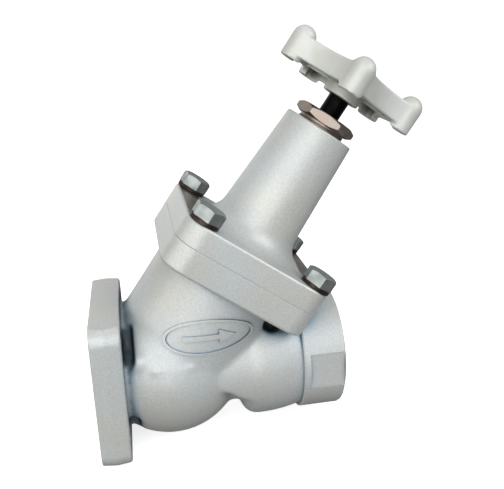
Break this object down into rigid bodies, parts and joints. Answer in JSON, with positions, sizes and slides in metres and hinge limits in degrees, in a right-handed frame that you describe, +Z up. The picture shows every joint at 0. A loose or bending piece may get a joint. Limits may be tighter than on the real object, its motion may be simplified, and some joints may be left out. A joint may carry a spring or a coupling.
{
  "type": "globe valve",
  "caption": "Y-pattern globe valve: square flanged inlet, threaded outlet, bolted bonnet with packing nut and a lobed handwheel that lifts the disc.",
  "frame": {"origin": "centre of the inlet bore on the inlet flange's face", "axes": "+X along the pipe from the inlet to the threaded outlet, +Z up; the stem leans towards +X in the XZ plane"},
  "size_m": [0.1697, 0.0826, 0.2103],
  "materials": {
    "body_paint": "satin silver-grey paint over cast iron",
    "wheel_aluminium": "as-cast, fine matt white-grey skin",
    "gland_bronze": "turned, light brown tarnish",
    "black_steel": "black oxide",
    "zinc_plate": "zinc plated",
    "bright_steel": "bright stainless",
    "seat_bronze": "machined",
    "packing_brass": "machined",
    "packing_ptfe": "moulded PTFE",
    "seal_rubber": "moulded nitrile",
    "wiper_rubber": "moulded nitrile"
  },
  "bodies": {
    "valve_body": {"body_casting": "body_paint", "inlet_o_ring": "seal_rubber", "seat_ring": "seat_bronze", "bonnet_o_ring": "seal_rubber", "bonnet": "body_paint", "cap_screws": "zinc_plate", "lock_washers": "black_steel", "packing_spring": "bright_steel", "spring_washer": "bright_steel", "male_adapter": "packing_brass", "packing_ring_1": "packing_ptfe", "packing_ring_2": "packing_ptfe", "packing_ring_3": "packing_ptfe", "female_adapter": "packing_brass", "packing_nut": "gland_bronze", "stem_wiper": "wiper_rubber"},
    "disc_group": {"disc_holder": "seat_bronze", "seat_disc": "seal_rubber", "disc_washer": "bright_steel", "disc_screw": "bright_steel", "swivel_collar": "seat_bronze"},
    "stem_group": {"stem": "black_steel", "handwheel": "wheel_aluminium", "handwheel_washer": "zinc_plate", "handwheel_nut": "zinc_plate"}
  },
  "joints": [
    {"name": "disc_lift", "type": "slide", "parent": "valve_body", "child": "disc_group", "axis": [0.5807, 0, 0.8141], "range_m": [0, 0.0127]},
    {"name": "stem_turn", "type": "hinge", "parent": "disc_group", "child": "stem_group", "pos_m": [0.037, 0, 0], "axis": [0.5807, 0, 0.8141], "range_deg": [0, 1440]}
  ],
  "couplings": [
    {"joint": "stem_turn", "follows": "disc_lift", "rad_per_m": 1978.9}
  ]
}
